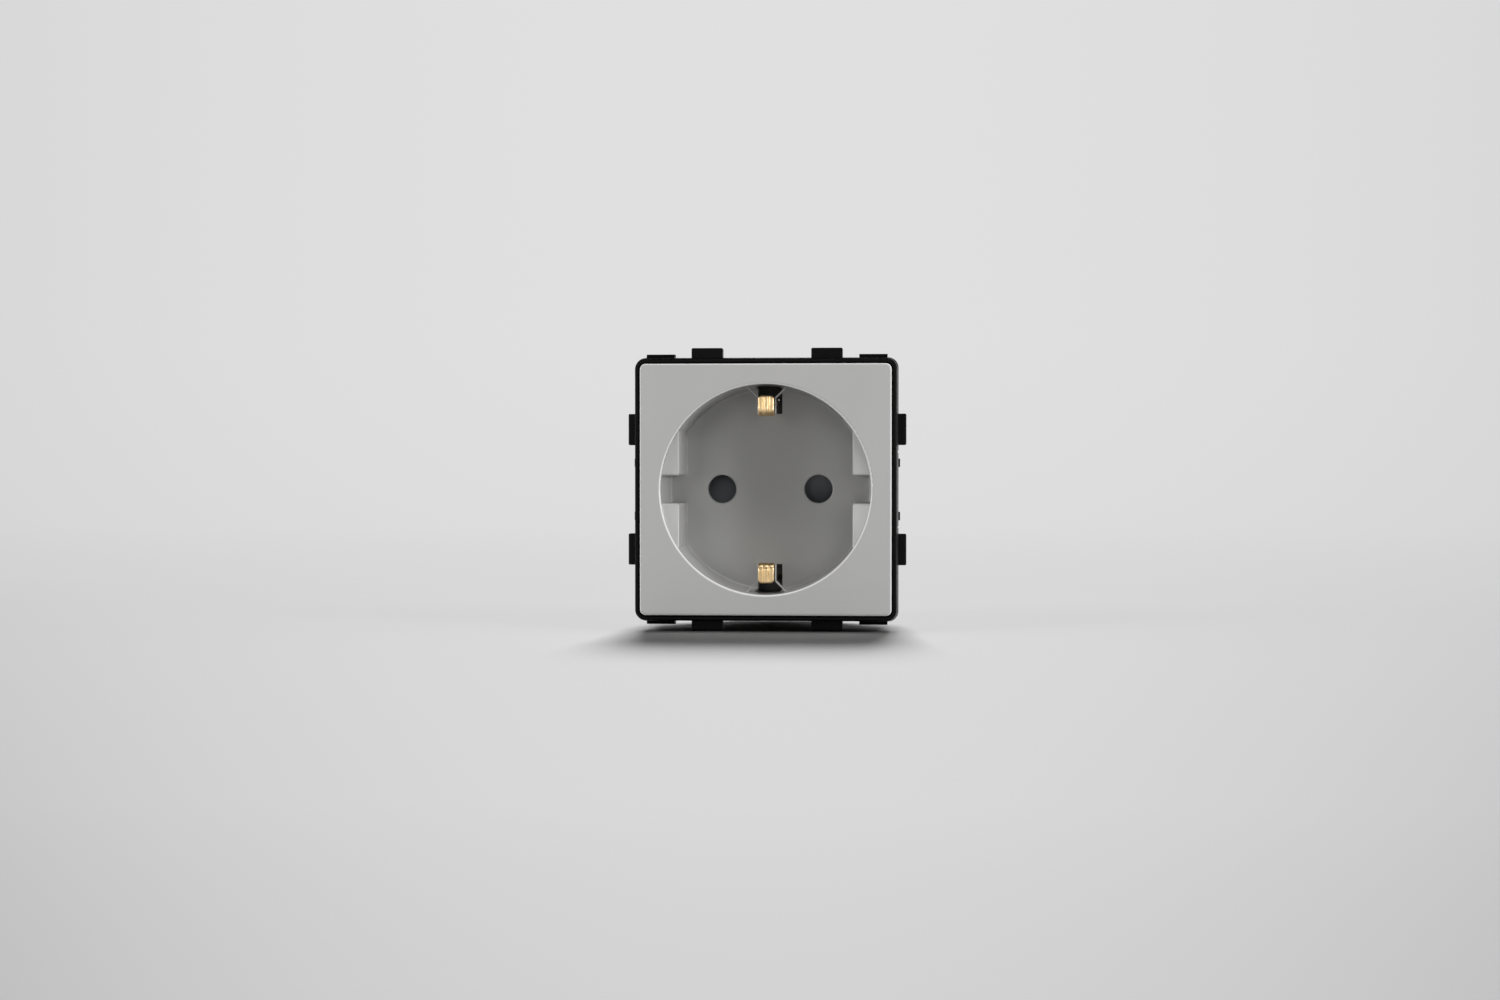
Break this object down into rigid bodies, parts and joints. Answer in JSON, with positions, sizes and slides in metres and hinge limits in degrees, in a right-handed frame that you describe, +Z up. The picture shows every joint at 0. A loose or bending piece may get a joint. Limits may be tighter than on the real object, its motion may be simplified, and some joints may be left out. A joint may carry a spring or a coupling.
{
  "type": "wall socket",
  "caption": "Snap-in wall socket insert: grey face with a round plug recess and side earth clips in a black frame, with a turning safety shutter and screw terminals in its rear housing.",
  "frame": {"origin": "on the socket's axis in the mounting plane, the rear face of the stop lugs", "axes": "+X to the right and +Z up as seen from the room, +Y into the wall"},
  "size_m": [0.0534, 0.04, 0.0542],
  "materials": {
    "grey_cover": "light grey thermoplastic, fine satin grain",
    "black_frame": "black thermoplastic, semi-gloss",
    "black_housing": "black thermoset moulding, satin",
    "dark_insulator": "dark grey moulding",
    "shutter_plastic": "dark grey moulding, smooth",
    "spring_steel": "bright spring steel",
    "brass_strip": "rolled brass strip, fine lengthwise grain",
    "brass_terminal": "machined brass",
    "zinc_steel": "zinc-plated steel"
  },
  "bodies": {
    "socket": {"front_cover": "grey_cover", "carrier_frame": "black_frame", "rear_housing": "black_housing", "shutter_base": "dark_insulator", "shutter_spring": "spring_steel", "earth_yoke": "brass_strip", "yoke_screws": "zinc_steel", "housing_screws": "zinc_steel", "line_contact": "brass_strip", "neutral_contact": "brass_strip", "line_grip_spring": "spring_steel", "neutral_grip_spring": "spring_steel", "line_terminal": "brass_terminal", "neutral_terminal": "brass_terminal", "earth_terminal": "brass_terminal", "line_pressure_plate": "zinc_steel", "neutral_pressure_plate": "zinc_steel", "earth_pressure_plate": "zinc_steel", "line_terminal_screw": "zinc_steel", "neutral_terminal_screw": "zinc_steel", "earth_terminal_screw": "zinc_steel"},
    "shutter": {"shutter": "shutter_plastic"}
  },
  "joints": [
    {"name": "shutter_turn", "type": "hinge", "parent": "socket", "child": "shutter", "pos_m": [0, 0.0135, 0], "axis": [0, -1, 0], "range_deg": [0, 36], "stiffness_Nm_per_rad": 0.0004, "springref_deg": -17.19, "deforming": ["shutter_spring"]}
  ]
}
